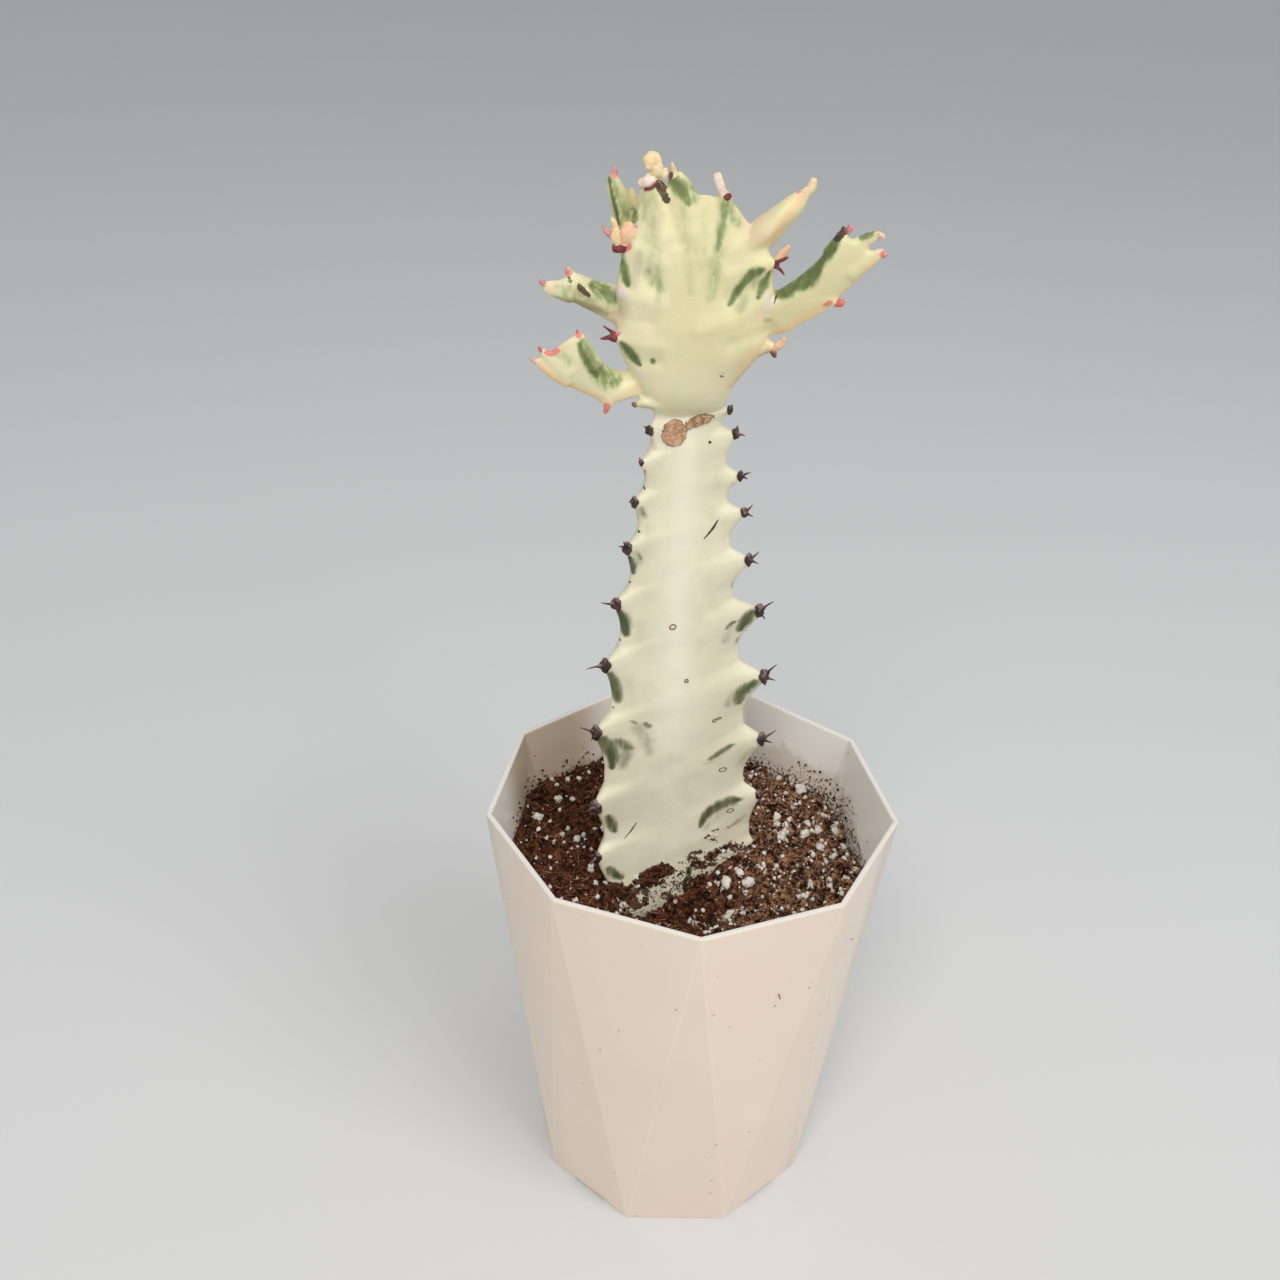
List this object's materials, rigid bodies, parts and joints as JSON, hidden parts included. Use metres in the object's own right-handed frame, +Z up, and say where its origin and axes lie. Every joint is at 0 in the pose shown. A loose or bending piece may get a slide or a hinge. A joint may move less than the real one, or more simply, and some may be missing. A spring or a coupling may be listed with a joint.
{
  "type": "potted white ghost euphorbia",
  "caption": "Pale ribbed succulent with toothed edges, dark spines and a branching head, standing in soil in a tall faceted white plastic pot.",
  "frame": {"origin": "middle of the part's box, on the surface that the pot stands on", "axes": "+Z up along the stem; -Y towards the front rim corner of the pot and the broad face of the stem; +X towards the long right-hand branch"},
  "size_m": [0.1034, 0.1018, 0.2744],
  "materials": {
    "pot": "warm white moulded plastic, half gloss",
    "soil": "dark red-brown coir and peat with white perlite",
    "main_stem": "cream succulent skin with grey-green flecks, satin",
    "branches": "pale yellow-cream young skin with green stripes and pink tips, satin",
    "green_branch": "light green young skin with a pink tip, satin"
  },
  "bodies": {
    "root": {"pot": "pot", "soil": "soil", "main_stem": "main_stem", "branch_lower_left": "branches", "branch_mid_left": "branches", "branch_upper_left": "green_branch", "branch_upper_right": "branches", "branch_right": "branches"}
  },
  "joints": []
}
